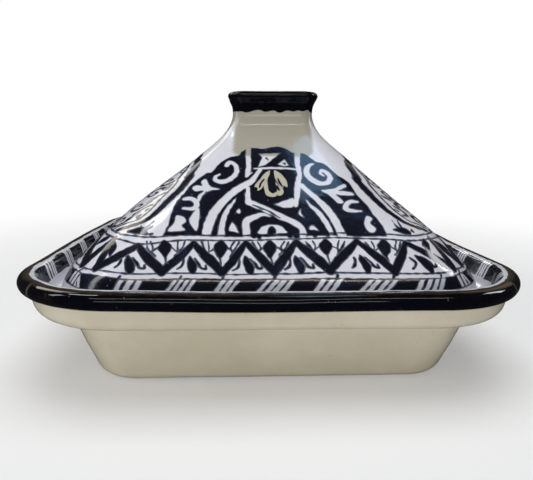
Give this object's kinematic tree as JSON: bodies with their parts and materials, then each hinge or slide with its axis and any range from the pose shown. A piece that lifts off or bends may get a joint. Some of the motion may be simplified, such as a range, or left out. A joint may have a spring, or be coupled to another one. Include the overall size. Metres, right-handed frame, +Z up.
{
  "type": "tagine pot",
  "caption": "Square glazed stoneware tagine: a baking dish with a gallery rim and a painted pyramid lid with a hollow handle, for slow cooking and serving.",
  "frame": {"origin": "middle of the dish's footprint, on the table", "axes": "+Z up through the middle of the lid's handle; X and Y square to the dish's sides, -Y towards the front"},
  "size_m": [0.3, 0.3, 0.1747],
  "materials": {
    "dish_glaze": "glossy",
    "lid_glaze": "glossy",
    "ink_glaze": "glossy",
    "bare_clay": "matte"
  },
  "bodies": {
    "dish": {"base_dish": "dish_glaze"},
    "lid": {"lid": "lid_glaze"}
  },
  "joints": [
    {"name": "lid_lift", "type": "slide", "parent": "dish", "child": "lid", "axis": [0, 0, 1], "range_m": [0, 0.12]}
  ]
}
